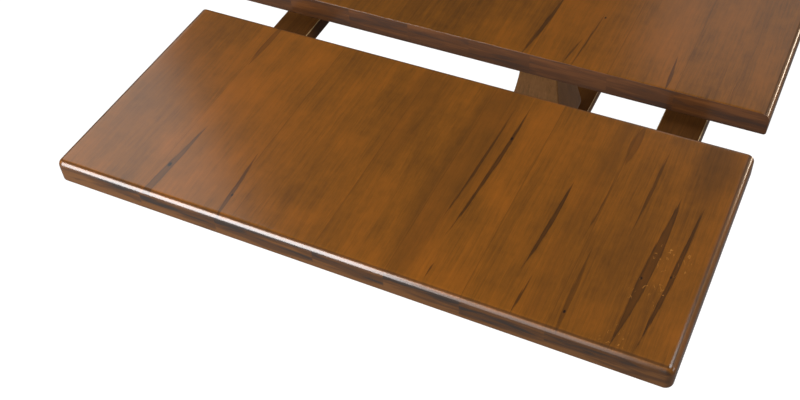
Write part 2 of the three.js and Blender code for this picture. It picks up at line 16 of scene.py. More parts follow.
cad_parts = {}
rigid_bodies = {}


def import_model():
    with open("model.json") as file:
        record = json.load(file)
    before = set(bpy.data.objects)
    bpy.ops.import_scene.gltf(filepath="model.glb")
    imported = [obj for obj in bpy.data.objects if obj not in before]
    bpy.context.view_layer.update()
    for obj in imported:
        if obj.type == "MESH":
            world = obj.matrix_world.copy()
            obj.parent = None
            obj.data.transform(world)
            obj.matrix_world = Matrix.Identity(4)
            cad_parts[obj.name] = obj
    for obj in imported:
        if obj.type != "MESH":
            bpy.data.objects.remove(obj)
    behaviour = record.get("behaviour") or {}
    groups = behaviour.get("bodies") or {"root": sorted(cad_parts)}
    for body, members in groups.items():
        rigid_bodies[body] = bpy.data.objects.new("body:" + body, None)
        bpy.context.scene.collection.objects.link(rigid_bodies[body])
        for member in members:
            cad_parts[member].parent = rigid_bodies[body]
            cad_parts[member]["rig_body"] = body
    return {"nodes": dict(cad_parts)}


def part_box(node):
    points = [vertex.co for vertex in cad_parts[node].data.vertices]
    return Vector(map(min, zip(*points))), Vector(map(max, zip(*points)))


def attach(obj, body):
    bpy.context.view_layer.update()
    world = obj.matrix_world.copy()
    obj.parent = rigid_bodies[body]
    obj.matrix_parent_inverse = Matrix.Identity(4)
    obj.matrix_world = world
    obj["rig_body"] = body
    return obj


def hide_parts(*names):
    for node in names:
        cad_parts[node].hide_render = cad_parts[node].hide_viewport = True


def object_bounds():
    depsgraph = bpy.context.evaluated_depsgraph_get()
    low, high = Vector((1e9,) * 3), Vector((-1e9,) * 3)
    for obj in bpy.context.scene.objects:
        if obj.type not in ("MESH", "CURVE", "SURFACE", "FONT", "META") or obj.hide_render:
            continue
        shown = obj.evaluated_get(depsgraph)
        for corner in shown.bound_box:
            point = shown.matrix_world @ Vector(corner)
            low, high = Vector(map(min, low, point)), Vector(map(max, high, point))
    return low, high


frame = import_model()
cad_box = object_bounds()
LOW, HIGH = np.array(cad_box[0]), np.array(cad_box[1])
print("the table is", np.round(HIGH - LOW, 4), "m")


def span(node):
    """The lowest and the highest corner of a node, as arrays."""
    low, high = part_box(node)
    return np.array(low), np.array(high)


# %% [markdown]
# ## The camera
#
# The picture is taken from beyond the left leaf, a little to the front, looking down. The camera's
# turn, its dip and a small roll are angles, and its place is given from the middle of the leaf's
# outer edge.

# %% Set up the camera
leaf_low, leaf_high = span("left_leaf")
leaf_edge = np.array([leaf_low[0], 0.0, leaf_high[2]])
CAMERA_FROM_EDGE = np.array([-0.8953, -0.6284, 1.2632])
CAMERA_TURN = 29.21  # degrees, from +X towards +Y
CAMERA_DIP = 46.62
CAMERA_ROLL = -4.63
CAMERA_LENS = 49.14

camera = bpy.data.objects.new("camera", bpy.data.cameras.new("camera"))
bpy.context.scene.collection.objects.link(camera)
bpy.context.scene.camera = camera
camera.data.lens = CAMERA_LENS
camera.data.sensor_width = 36.0
camera.data.clip_end = 100.0
turn = Matrix.Rotation(math.radians(CAMERA_TURN - 90.0), 4, "Z")
dip = Matrix.Rotation(math.radians(90.0 - CAMERA_DIP), 4, "X")
roll = Matrix.Rotation(math.radians(CAMERA_ROLL), 4, "Z")
camera.matrix_world = Matrix.Translation(Vector(leaf_edge + CAMERA_FROM_EDGE)) @ turn @ dip @ roll
print("the camera stands at", np.round(leaf_edge + CAMERA_FROM_EDGE, 3))

# %% [markdown]
# ## The studio
#
# A lacquered top is judged by what it reflects. A tall bright panel stands behind the camera, on the
# left. It gives most of the light, and draws the long white line along the leaf's rounded outer
# edge. A soft box overhead, on the right, lights the arms in the gap. A dimmer wall on the left
# greys that end of the leaf, and a wall beyond the far end greys the top there. Two panels on the
# right draw the lines along the right-hand edges, and a low fill lights what is under the top.
# Nothing bright hangs where the middle of the top would reflect it, so the middle stays deep and
# warm. The floor glows to the camera, so that it stays white under the table.


# %% A white cove
def world_light(strength):
    """A cove that is white to the camera, and otherwise dim, most of all overhead."""
    world = bpy.data.worlds.new("cove")
    bpy.context.scene.world = world
    world.use_nodes = True
    tree = world.node_tree
    background = tree.nodes["Background"]
    coordinates = tree.nodes.new("ShaderNodeTexCoord")
    parts = tree.nodes.new("ShaderNodeSeparateXYZ")
    ramp = tree.nodes.new("ShaderNodeValToRGB")
    ramp.color_ramp.elements[0].position = 0.0
    ramp.color_ramp.elements[0].color = (1.0, 1.0, 1.0, 1.0)
    ramp.color_ramp.elements[1].position = 0.75
    ramp.color_ramp.elements[1].color = (0.16, 0.16, 0.17, 1.0)
    tree.links.new(coordinates.outputs["Generated"], parts.inputs[0])
    tree.links.new(parts.outputs["Z"], ramp.inputs[0])
    path = tree.nodes.new("ShaderNodeLightPath")
    white = tree.nodes.new("ShaderNodeMix")
    white.data_type = "RGBA"
    white.inputs[7].default_value = (1.0, 1.0, 1.0, 1.0)
    tree.links.new(path.outputs["Is Camera Ray"], white.inputs[0])
    tree.links.new(ramp.outputs[0], white.inputs[6])
    tree.links.new(white.outputs[2], background.inputs["Color"])
    power = tree.nodes.new("ShaderNodeMapRange")
    power.inputs["To Min"].default_value = strength
    tree.links.new(path.outputs["Is Camera Ray"], power.inputs["Value"])
    tree.links.new(power.outputs[0], background.inputs["Strength"])


# %% Light panels
WARM = (1.0, 0.84, 0.66)  # a lamp
COOL = (0.98, 0.985, 1.0)  # a window


def panel(name, place, aim, width, height, watts, tint=(1.0, 1.0, 1.0)):
    """A rectangular light at a place, facing the point it is aimed at."""
    light = bpy.data.lights.new(name, "AREA")
    light.shape = "RECTANGLE"
    light.size, light.size_y = width, height
    light.energy = watts
    light.color = tint
    lamp = bpy.data.objects.new(name, light)
    lamp.location = place
    lamp.rotation_euler = (Vector(aim) - Vector(place)).to_track_quat("-Z", "Y").to_euler()
    bpy.context.scene.collection.objects.link(lamp)


# %% A floor that glows
def studio_floor(half, glow):
    """A white square of floor that also glows, so shadows on it stay pale."""
    mesh = bpy.data.meshes.new("studio_floor")
    corners = half * np.array([[-1, -1, 0], [1, -1, 0], [1, 1, 0], [-1, 1, 0]], float)
    mesh.from_pydata(corners.tolist(), [], [(0, 1, 2, 3)])
    floor = bpy.data.objects.new("studio_floor", mesh)
    bpy.context.scene.collection.objects.link(floor)
    material = bpy.data.materials.new("studio_white")
    material.use_nodes = True
    tree = material.node_tree
    shader = tree.nodes["Principled BSDF"]
    shader.inputs["Base Color"].default_value = (0.06, 0.06, 0.06, 1.0)
    shader.inputs["Roughness"].default_value = 0.9
    shader.inputs["Specular IOR Level"].default_value = 0.1
    shader.inputs["Emission Color"].default_value = (1.0, 1.0, 1.0, 1.0)
    path = tree.nodes.new("ShaderNodeLightPath")
    seen = tree.nodes.new("ShaderNodeMapRange")
    seen.inputs["To Min"].default_value = 0.07 * glow
    seen.inputs["To Max"].default_value = glow
    tree.links.new(path.outputs["Is Camera Ray"], seen.inputs["Value"])
    tree.links.new(seen.outputs[0], shader.inputs["Emission Strength"])
    mesh.materials.append(material)


# %% Set out the lights
bpy.context.scene.view_settings.view_transform = "Standard"
bpy.context.scene.view_settings.look = "None"
world_light(0.10)
top_level = leaf_high[2]
panel("tall_window", (-4.0, 2.0, 2.15), (-1.3, 2.0, top_level), 2.3, 2.6, 306.0, COOL)
panel("window_end", (-4.0, 0.25, 2.15), (-1.3, 0.25, top_level), 1.1, 2.6, 24.0)
panel("overhead", (-0.7, -1.9, 3.1), (-0.6, -0.3, top_level), 2.3, 1.2, 62.0)
panel("left_wall", (0.2, 3.0, 3.0), (-1.2, 0.3, top_level), 1.8, 2.5, 23.0)
panel("far_wall", (4.5, -0.8, 3.9), (-0.4, -0.5, top_level), 3.2, 2.6, 17.0)
panel("right_strip", (1.4, -3.0, 2.4), (-1.2, -0.5, top_level), 2.5, 0.22, 4.0, WARM)
panel("far_right", (3.3, -3.7, 1.1), (-0.5, -0.5, top_level), 1.3, 0.7, 50.0, WARM)
panel("right_fill", (-0.8, -3.4, 1.1), (-0.8, -0.3, 0.6), 1.8, 1.0, 17.0)
studio_floor(14.0, 1.0)
print("light panels:", len(bpy.data.lights))


# %% [markdown]
# ## Surfaces
#
# Wood is shaped by a few machines, and the shapes here follow them. A board that is sawn to an
# outline and has its edges eased is a prism. What comes off the lathe is turned. The tops are slabs
# whose edges a router has rounded over. A bevel modifier could ease the edges too, but here each is
# one grid of points, worked out as a whole array, so every edge lies where its formula says.


# %% Turn grids into meshes
def ring_faces(rings, points):
    """Quads between one closed ring of points and the next, for a stack of rings."""
    i, j = np.meshgrid(np.arange(rings - 1), np.arange(points), indexing="ij")
    k = (j + 1) % points
    return np.stack([i * points + j, i * points + k, (i + 1) * points + k, (i + 1) * points + j], -1)


def stack(name, rings, body, material, nodes, sharp=35.0):
    """A closed piece from a stack of rings, shaped (rings, points, 3), capped at both ends.

    The rings go round anticlockwise seen from the side that the stack grows towards, so every face
    points outwards. The caps are flat polygons.
    """
    count, points = rings.shape[:2]
    quads = ring_faces(count, points).reshape(-1, 4)
    first = np.arange(points)[::-1]
    last = np.arange(points) + (count - 1) * points
    mesh = bpy.data.meshes.new(name)
    faces = quads.tolist() + [first.tolist(), last.tolist()]
    mesh.from_pydata(rings.reshape(-1, 3).tolist(), [], faces)
    mesh.polygons.foreach_set("use_smooth", np.ones(len(faces), bool))
    mesh.set_sharp_from_angle(angle=math.radians(sharp))
    mesh.materials.append(material)
    mesh.update()
    piece = bpy.data.objects.new(name, mesh)
    bpy.context.scene.collection.objects.link(piece)
    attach(piece, body)
    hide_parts(*nodes)
    return piece


def arc(steps):
    """Quarter-circle shares (out, up) from (0, 0) to (1, 1): out = 1 - cos a, up = sin a."""
    a = np.linspace(0.0, math.pi / 2, steps + 1)
    return 1.0 - np.cos(a), np.sin(a)


# %% Round the corners of an outline
def soften(corners, radius, steps=5):
    """A closed outline with each corner replaced by a curve that starts radius before it.

    Each curve is a quadratic Bezier from the near edge to the far edge, with the corner as its
    control point: (1-t)^2 A + 2t(1-t) P + t^2 B.
    """
    corners = np.asarray(corners, float)
    radius = np.broadcast_to(np.asarray(radius, float), len(corners))[:, None]
    before = np.roll(corners, 1, 0) - corners
    after = np.roll(corners, -1, 0) - corners
    length_before = np.linalg.norm(before, axis=1, keepdims=True)
    length_after = np.linalg.norm(after, axis=1, keepdims=True)
    a = corners + before / length_before * np.minimum(radius, 0.45 * length_before)
    b = corners + after / length_after * np.minimum(radius, 0.45 * length_after)
    t = np.linspace(0.0, 1.0, steps + 1)[None, :, None]
    curve = (1 - t) ** 2 * a[:, None] + 2 * t * (1 - t) * corners[:, None] + t**2 * b[:, None]
    return curve.reshape(-1, 2)


def inset(outline, depth):
    """The outline moved inwards by each depth, as an array (depths, points, 2).

    A point moves along the mean of its two edges' inward normals, lengthened by the corner's
    mitre, so that both edges move by the depth.
    """
    ahead = np.roll(outline, -1, 0) - outline
    keep = np.linalg.norm(ahead, axis=1) > 1e-9
    outline = outline[keep]
    ahead = np.roll(outline, -1, 0) - outline
    ahead /= np.linalg.norm(ahead, axis=1, keepdims=True)
    inward = np.stack([-ahead[:, 1], ahead[:, 0]], 1)
    mean = inward + np.roll(inward, 1, 0)
    mean /= np.linalg.norm(mean, axis=1, keepdims=True)
    mitre = 1.0 / np.maximum(np.sum(mean * inward, 1, keepdims=True), 0.5)
    return outline[None] + np.asarray(depth)[:, None, None] * (mean * mitre)[None]


# %% Prisms
AXES = {"X": (1, 2, 0), "Y": (2, 0, 1), "Z": (0, 1, 2)}


def prism(name, outline, axis, low, high, ease, body, material, corner=None):
    """A board sawn to an outline, pushed along an axis, with eased edges.

    The outline is anticlockwise in the two axes that follow the named one, in the order X, Y, Z.
    Ring by ring, the ease moves inwards by e(1 - sin a) while the board grows by e(1 - cos a).
    The ease is at most half the corner's radius, so that no ring folds over itself at a corner.
    """
    corner = ease if corner is None else corner
    ease = min(ease, 0.5 * corner)
    outline = soften(outline, corner)
    out, up = arc(4)
    flat = 0.2 * ease
    depth = np.concatenate([[ease + flat], ease * (1 - up), ease * (1 - up[::-1]), [ease + flat]])
    place = np.concatenate([[low], low + ease * out, high - ease * out[::-1], [high]])
    flats = inset(outline, depth)
    u, v, w = AXES[axis]
    rings = np.empty(flats.shape[:2] + (3,))
    rings[..., u], rings[..., v] = flats[..., 0], flats[..., 1]
    rings[..., w] = place[:, None]
    return stack(name, rings, body, material, [name])


def rectangle(low, high):
    """The four corners of a rectangle, anticlockwise."""
    return [(low[0], low[1]), (high[0], low[1]), (high[0], high[1]), (low[0], high[1])]


def board(name, axis, ease, body, material):
    """A prism that fills its node's whole box."""
    low, high = span(name)
    u, v, w = AXES[axis]
    outline = rectangle(low[[u, v]], high[[u, v]])
    return prism(name, outline, axis, low[w], high[w], ease, body, material)


# %% Turned pieces
def turned(name, profile, centre, body, material, sides=48):
    """A piece off the lathe: the profile (radius, height) carried round an upright axis."""
    profile = np.asarray(profile, float)
    turn_by = np.arange(sides) * 2 * math.pi / sides
    rings = np.empty((len(profile), sides, 3))
    rings[..., 0] = centre[0] + profile[:, :1] * np.cos(turn_by)
    rings[..., 1] = centre[1] + profile[:, :1] * np.sin(turn_by)
    rings[..., 2] = profile[:, 1:]
    return stack(name, rings, body, material, [name])


# %% Slabs with a rounded-over edge
UPPER_ROUND = 0.0127
LOWER_ROUND = 0.005
ARRIS = 0.00015  # what sandpaper leaves of a square edge
CORNER = 0.013
CAP_INSET = 0.004  # the flat faces end this far inside the rounding, so that it shades cleanly
LEAST_RADIUS = 0.0006


def slab(name, rounded_low_x, rounded_high_x, body, material):
    """A top: its long sides rounded over, its ends rounded or square.

    For a rounded side the inset at height z is R - sqrt(R^2 - (z - (top - R))^2), with the small
    arris as R on a square side, and the same from below. The corners of the plan are arcs.
    """
    low, high = span(name)
    out, up = arc(12)
    over = high[2] - UPPER_ROUND * (1 - up)
    under = low[2] + LOWER_ROUND * (1 - up[::-1])
    level = np.concatenate([[low[2]], under, over, [high[2]]])
    flat = np.zeros(len(level))
    flat[[0, -1]] = CAP_INSET

    def side_inset(upper, lower):
        above = np.clip(level - (high[2] - upper), 0.0, upper)
        below = np.clip((low[2] + lower) - level, 0.0, lower)
        return (upper - np.sqrt(upper**2 - above**2)) + (lower - np.sqrt(lower**2 - below**2)) + flat

    routed = side_inset(UPPER_ROUND, LOWER_ROUND)
    square = side_inset(ARRIS, ARRIS)
    x_low = low[0] + (routed if rounded_low_x else square)
    x_high = high[0] - (routed if rounded_high_x else square)
    y_low, y_high = low[1] + routed, high[1] - routed
    # corners anticlockwise from (low, low); each is (x side, y side, angle at which its arc starts)
    quarter = np.linspace(0.0, math.pi / 2, 11)
    rings = []
    for x, y, sx, sy, start, is_round in (
        (x_low, y_low, 1, 1, math.pi, rounded_low_x),
        (x_high, y_low, -1, 1, 1.5 * math.pi, rounded_high_x),
        (x_high, y_high, -1, -1, 0.0, rounded_high_x),
        (x_low, y_high, 1, -1, 0.5 * math.pi, rounded_low_x),
    ):
        plan_radius = CORNER if is_round else ARRIS
        radius = np.maximum(plan_radius - (routed - flat), LEAST_RADIUS)[:, None]
        angle = (start + quarter)[None]
        cx = x[:, None] + sx * radius
        cy = y[:, None] + sy * radius
        px, py = cx + radius * np.cos(angle), cy + radius * np.sin(angle)
        rings.append(np.stack([px, py, np.broadcast_to(level[:, None], px.shape)], -1))
    return stack(name, np.concatenate(rings, 1), body, material, [name], sharp=50.0)


# %% Square columns
COLUMN_PROFILE = np.array([
    (0.042, 0.025), (0.050, 0.041), (0.061, 0.072), (0.069, 0.107), (0.072, 0.138),
    (0.0695, 0.173), (0.064, 0.227), (0.057, 0.295), (0.0505, 0.365), (0.046, 0.430),
    (0.0435, 0.506), (0.043, 0.600), (0.045, 0.712), (0.050, 0.826), (0.058, 0.908),
])
PLINTH_HALF, PLINTH_HEIGHT = 0.064, 0.092
BLOCK_HALF = 0.066
COLUMN_EASE = 0.003
COLLAR_STEP = 0.006  # from the end of the flare up to the square block
FILLET_IN, FILLET_DOWN = 0.014, 0.004  # where the urn leaves the plinth


def spline(points, steps):
    """A smooth curve through points, uniform Catmull-Rom, with steps points on each stretch."""
    p = np.concatenate([[2 * points[0] - points[1]], points, [2 * points[-1] - points[-2]]])
    t = (np.arange(steps) / steps)[None, :, None]
    a, b, c, d = (p[k : len(p) - 3 + k, None] for k in range(4))
    curve = 0.5 * (2 * b + (c - a) * t + (2 * a - 5 * b + 4 * c - d) * t**2
                   + (3 * b - a - 3 * c + d) * t**3)
    return np.concatenate([curve.reshape(-1, 2), points[-1:]])


def column(name, body, material):
    """A square column: each ring is a square of half-width h(z) with softened corners. h is the
    plinth's up to its top, then a spline through COLUMN_PROFILE, then the block's."""
    low, high = span(name)
    centre = (low + high) / 2
    plinth = low[2] + PLINTH_HEIGHT
    reach = high[2] - plinth
    body_curve = spline(COLUMN_PROFILE, 6)
    body_curve[:, 1] = plinth + body_curve[:, 1] * reach
    out, up = arc(4)
    e = COLUMN_EASE
    foot = np.stack([PLINTH_HALF - e + e * up, low[2] + e * out], 1)
    cap = np.stack([PLINTH_HALF - e * out, plinth - e + e * up], 1)
    collar = body_curve[-1, 1] + COLLAR_STEP
    block = np.stack([BLOCK_HALF - e + e * up, collar + e * out], 1)
    end = np.stack([BLOCK_HALF - e * out, high[2] - e + e * up], 1)
    fillet = np.array([[PLINTH_HALF - FILLET_IN, body_curve[0, 1] - FILLET_DOWN]])
    profile = np.concatenate([foot, cap, fillet, body_curve, block, end])
    corner = soften([(-1, -1), (1, -1), (1, 1), (-1, 1)], 2 * e / PLINTH_HALF, 4)
    apart = np.linalg.norm(np.roll(corner, -1, 0) - corner, axis=1) > 1e-9
    corner = corner[apart]
    rings = np.empty((len(profile), len(corner), 3))
    rings[..., 0] = centre[0] + profile[:, :1] * corner[None, :, 0]
    rings[..., 1] = centre[1] + profile[:, :1] * corner[None, :, 1]
    rings[..., 2] = profile[:, 1:]
    return stack(name, rings, body, material, [name])


# %% [markdown]
# ## Stained maple
#
# A picture of wood could be wrapped round each board, but it would not meet itself at the edges, so
# the wood is a solid pattern. Growth rings run round an axis along the grain. The boards are glued
# edge to edge, and each has a tone and a piece of the pattern of its own. The stain lies in
# blotches, and dark mineral streaks taper along the grain, often with a worm hole in them. The sawn
# ends have a colour of their own, and a clear film covers everything.


# %% A small kit for node graphs
class Graph:
    """One material's nodes, with short calls for the few kinds that wood needs."""

    def __init__(self, name):
        self.material = bpy.data.materials.new(name)
        self.material.use_nodes = True
        self.tree = self.material.node_tree
        self.shader = self.tree.nodes["Principled BSDF"]

    def node(self, kind, **settings):
        made = self.tree.nodes.new(kind)
        for key, value in settings.items():
            setattr(made, key, value)
        return made

    def feed(self, socket, value):
        if isinstance(value, bpy.types.NodeSocket):
            self.tree.links.new(value, socket)
        else:
            socket.default_value = value

    def math(self, operation, *values, clamp=False):
        made = self.node("ShaderNodeMath", operation=operation, use_clamp=clamp)
        for socket, value in zip(made.inputs, values):
            self.feed(socket, value)
        return made.outputs[0]

    def vector(self, x, y, z):
        made = self.node("ShaderNodeCombineXYZ")
        for socket, value in zip(made.inputs, (x, y, z)):
            self.feed(socket, value)
        return made.outputs[0]

    def noise(self, vector, scale, detail=2.0, rough=0.5, distortion=0.0):
        made = self.node("ShaderNodeTexNoise")
        self.feed(made.inputs["Vector"], vector)
        made.inputs["Scale"].default_value = scale
        made.inputs["Detail"].default_value = detail
        made.inputs["Roughness"].default_value = rough
        made.inputs["Distortion"].default_value = distortion
        return made.outputs["Fac"]

    def random(self, value):
        made = self.node("ShaderNodeTexWhiteNoise", noise_dimensions="1D")
        self.feed(made.inputs["W"], value)
        return made.outputs["Value"]

    def remap(self, value, low, high, to_low=0.0, to_high=1.0, smooth=False):
        made = self.node("ShaderNodeMapRange")
        made.interpolation_type = "SMOOTHSTEP" if smooth else "LINEAR"
        self.feed(made.inputs["Value"], value)
        made.inputs["From Min"].default_value = low
        made.inputs["From Max"].default_value = high
        made.inputs["To Min"].default_value = to_low
        made.inputs["To Max"].default_value = to_high
        return made.outputs[0]

    def mix(self, share, a, b):
        made = self.node("ShaderNodeMix", data_type="RGBA")
        self.feed(made.inputs[0], share)
        self.feed(made.inputs[6], a)
        self.feed(made.inputs[7], b)
        return made.outputs[2]


def linear(red, green, blue):
    """An sRGB colour, 0 to 255, as the linear colour that a socket takes."""
    c = np.array([red, green, blue]) / 255.0
    low = c / 12.92
    high = ((c + 0.055) / 1.055) ** 2.4
    return (*np.where(c <= 0.04045, low, high).tolist(), 1.0)


# %% Boards, rings and streaks
def board_number(g, y, joints):
    """How many of the glue joints lie below y: the number of the board."""
    number = 0.0
    for joint in joints:
        number = g.math("ADD", number, g.math("GREATER_THAN", y, joint))
    return number


def near_joint(g, y, joints, width):
    """1 on a glue line, falling to 0 at the given width from it."""
    line = 0.0
    for joint in joints:
        away = g.math("ABSOLUTE", g.math("SUBTRACT", y, joint))
        line = g.math("MAXIMUM", line, g.remap(away, 0.0, width, 1.0, 0.0))
    return line


def streak_mask(g, x, y, streaks, soft):
    """How dark the streaks are. Each is a bent lens along X: with u = (x - x0) / L, its middle line is
    y0 + slope (x - x0) + bend u^2, and its half-width is W (1 - u^2)^1.2. The core of a wide one is
    a little paler than its rim."""
    mask = 0.0
    for x0, y0, half_length, half_width, slope, bend, strength in streaks:
        u = g.math("MULTIPLY_ADD", x, 1.0 / half_length, -x0 / half_length)
        square = g.math("MULTIPLY", u, u)
        lens = g.math("POWER", g.math("SUBTRACT", 1.0, square, clamp=True), 1.2)
        line = g.math("MULTIPLY_ADD", x, slope, y0 - slope * x0)
        line = g.math("MULTIPLY_ADD", square, bend, line)
        off = g.math("ABSOLUTE", g.math("SUBTRACT", y, line))
        inside = g.math("MULTIPLY_ADD", lens, half_width, g.math("MULTIPLY", off, -1.0))
        depth = g.remap(inside, -0.3 * soft, soft, 0.0, strength, smooth=True)
        core = g.remap(inside, soft, 3.0 * soft, 1.0, 0.78, smooth=True)
        depth = g.math("MULTIPLY", depth, core)
        mask = g.math("MAXIMUM", mask, depth)
    return mask


HOLE_SQUEEZE = 0.6  # distance along the grain counts for this much, so a hole is an oval


def hole_mask(g, x, y, holes):
    """1 inside any worm hole: the remapped distance sqrt((s dx)^2 + dy^2), with s the squeeze."""
    mask = 0.0
    for x0, y0, radius in holes:
        dx = g.math("MULTIPLY_ADD", x, HOLE_SQUEEZE, -HOLE_SQUEEZE * x0)
        dy = g.math("SUBTRACT", y, y0)
        away = g.math("SQRT", g.math("ADD", g.math("MULTIPLY", dx, dx), g.math("MULTIPLY", dy, dy)))
        mask = g.math("MAXIMUM", mask, g.remap(away, 0.5 * radius, radius, 1.0, 0.0))
    return mask


def squiggle_mask(g, x, y, patches):
    """Thin pale lines that wander inside round patches: the level lines n = 1/2 of a noise."""
    place = g.vector(g.math("MULTIPLY", x, 26.0), g.math("MULTIPLY", y, 60.0), 7.0)
    wander = g.noise(place, 1.0, 2.0, 0.6)
    line = g.remap(g.math("ABSOLUTE", g.math("SUBTRACT", wander, 0.5)), 0.003, 0.012, 1.0, 0.0)
    place = g.vector(g.math("MULTIPLY", x, 130.0), g.math("MULTIPLY", y, 130.0), 2.0)
    breaks = g.noise(place, 1.0, 1.0)
    line = g.math("MULTIPLY", line, g.remap(breaks, 0.50, 0.62, smooth=True))
    inside = 0.0
    for x0, y0, radius in patches:
        dx, dy = g.math("SUBTRACT", x, x0), g.math("SUBTRACT", y, y0)
        away = g.math("SQRT", g.math("ADD", g.math("MULTIPLY", dx, dx), g.math("MULTIPLY", dy, dy)))
        inside = g.math("MAXIMUM", inside, g.remap(away, 0.5 * radius, radius, 1.0, 0.0, smooth=True))
    return g.math("MULTIPLY", line, inside)


# %% [markdown]
# ### The grain
#
# Everything that runs with the grain is a noise, stretched far along the board and squeezed across
# it. A growth ring is a cylinder, and for the tops its axis lies a hand's width or so below them, so
# the rings are counted by the distance from that axis. Each board moves the pattern along by a
# chance amount, so that no two boards match.

# %% Noises that follow the grain
# features in a metre along the board, across it and through it, then detail and roughness
WANDER = ((1.6, 9.0, 9.0), 3.0, 0.55)
RIPPLE = ((5.0, 60.0, 60.0), 3.0, 0.6)
FIBRE = ((34.0, 560.0, 560.0), 3.0, 0.65)
FINE_LINES = ((12.0, 340.0, 340.0), 4.0, 0.65)
BROAD_BANDS = ((1.1, 46.0, 46.0), 4.0, 0.6)
CLOUD = ((8.0, 13.0, 1.0), 5.0, 0.66)
CURL = ((70.0, 12.0, 1.0), 2.0, 0.5)
DRIFT = ((2.2, 42.0, 42.0), 2.0, 0.5)
RINGS_PER_METRE = 110.0


def field(g, place, kind):
    """A noise read at the place, once each axis of the place is multiplied by its own scale."""
    scales, detail, rough = kind
    stretched = [g.math("MULTIPLY", part, scale) for part, scale in zip(place, scales)]
    return g.noise(g.vector(*stretched), 1.0, detail, rough)


def growth_rings(g, place, chance):
    """Rings round an axis along the board: the fraction of n d + ripple, where n is the rings in a
    metre and d = sqrt(y^2 + z^2) from the axis. Each ring darkens slowly and ends at once."""
    off_y = g.math("MULTIPLY_ADD", chance[1], -0.16, g.math("ADD", place[1], 0.08))
    off_z = g.math("MULTIPLY_ADD", chance[2], 0.10, g.math("SUBTRACT", place[2], 0.70))
    squares = g.math("ADD", g.math("MULTIPLY", off_y, off_y), g.math("MULTIPLY", off_z, off_z))
    count = g.math("MULTIPLY", g.math("SQRT", squares), RINGS_PER_METRE)
    saw = g.math("FRACT", g.math("MULTIPLY_ADD", field(g, place, RIPPLE), 1.6, count))
    return g.math("MULTIPLY", saw, g.remap(saw, 0.86, 1.0, 1.0, 0.0))


class Grain:
    """The grain of the boards, as the node outputs that colour and finish are mixed from."""

    def __init__(self, g, x, y, z, joints, seed):
        self.number = g.math("ADD", board_number(g, y, joints), seed)
        self.chance = [g.random(g.math("ADD", self.number, 0.37 * k)) for k in range(3)]
        self.x = g.math("ADD", x, g.math("MULTIPLY", self.chance[0], 37.0))
        # the grain wanders slowly along the board, by a few millimetres across it
        self.wander = g.math("SUBTRACT", field(g, (self.x, y, z), WANDER), 0.5)
        self.y = g.math("MULTIPLY_ADD", self.wander, 0.030, y)
        flow = (self.x, self.y, g.math("MULTIPLY_ADD", self.wander, 0.012, z))
        self.rings = growth_rings(g, flow, self.chance)
        self.fibre = field(g, flow, FIBRE)
        self.lines = field(g, flow, FINE_LINES)
        self.band = field(g, flow, BROAD_BANDS)
        self.cloud = field(g, (self.x, y, z), CLOUD)
        self.curl = field(g, (self.x, y, z), CURL)


# %% Stain and random streaks
BOARD_SPAN = 0.54  # the board tones are laid out from this far on one side of the middle to the other


def board_steps(g, y, joints, values):
    """Each board's own value: a ramp across the boards that steps at every glue joint."""
    ramp = g.node("ShaderNodeValToRGB")
    ramp.color_ramp.interpolation = "CONSTANT"
    ramp.color_ramp.elements.remove(ramp.color_ramp.elements[1])
    stops = [0.0] + [(joint + BOARD_SPAN) / (2 * BOARD_SPAN) for joint in joints]
    for k, (stop, value) in enumerate(zip(stops, values)):
        element = ramp.color_ramp.elements[0] if k == 0 else ramp.color_ramp.elements.new(stop)
        element.color = (value, value, value, 1.0)
    g.feed(ramp.inputs[0], g.remap(y, -BOARD_SPAN, BOARD_SPAN))
    return ramp.outputs[0]


def stain_tone(g, grain, y, joints, board_tones, figure, blotch):
    """How light the stain is, about 0 to 1: a half, plus a share of each part of the grain, counted
    from its middle. Blotches of stain count most, then bands and fibres."""
    tone = 0.5
    for part, middle, share in (
        (grain.cloud, 0.5, 1.15 * blotch),
        (grain.band, 0.5, 0.65 * figure),
        (grain.rings, 0.4, -0.14 * figure),
        (grain.fibre, 0.5, 0.75 * figure),
        (grain.lines, 0.5, 0.65 * figure),
        (grain.curl, 0.5, 0.22 * figure),
    ):
        tone = g.math("MULTIPLY_ADD", g.math("SUBTRACT", part, middle), share, tone)
    if board_tones:
        steps = board_steps(g, y, joints, board_tones)
        tone = g.math("ADD", tone, g.math("SUBTRACT", steps, 0.5))
    elif joints:
        tone = g.math("MULTIPLY_ADD", g.math("SUBTRACT", grain.chance[1], 0.5), 0.35, tone)
    return tone


def loose_streaks(g, grain, y, z, wild):
    """Random streaks, thin and sparse: the peaks of a drawn-out noise, let through by a broad one."""
    peaks = g.remap(field(g, (grain.x, grain.y, z), DRIFT), 0.665, 0.70, smooth=True)
    broad = g.vector(g.math("MULTIPLY", grain.x, 1.7), g.math("MULTIPLY", y, 6.0), 3.0)
    gate = g.remap(g.noise(broad, 1.0, 1.0), 0.46, 0.60, 0.0, wild, smooth=True)
    return g.math("MULTIPLY", peaks, gate)


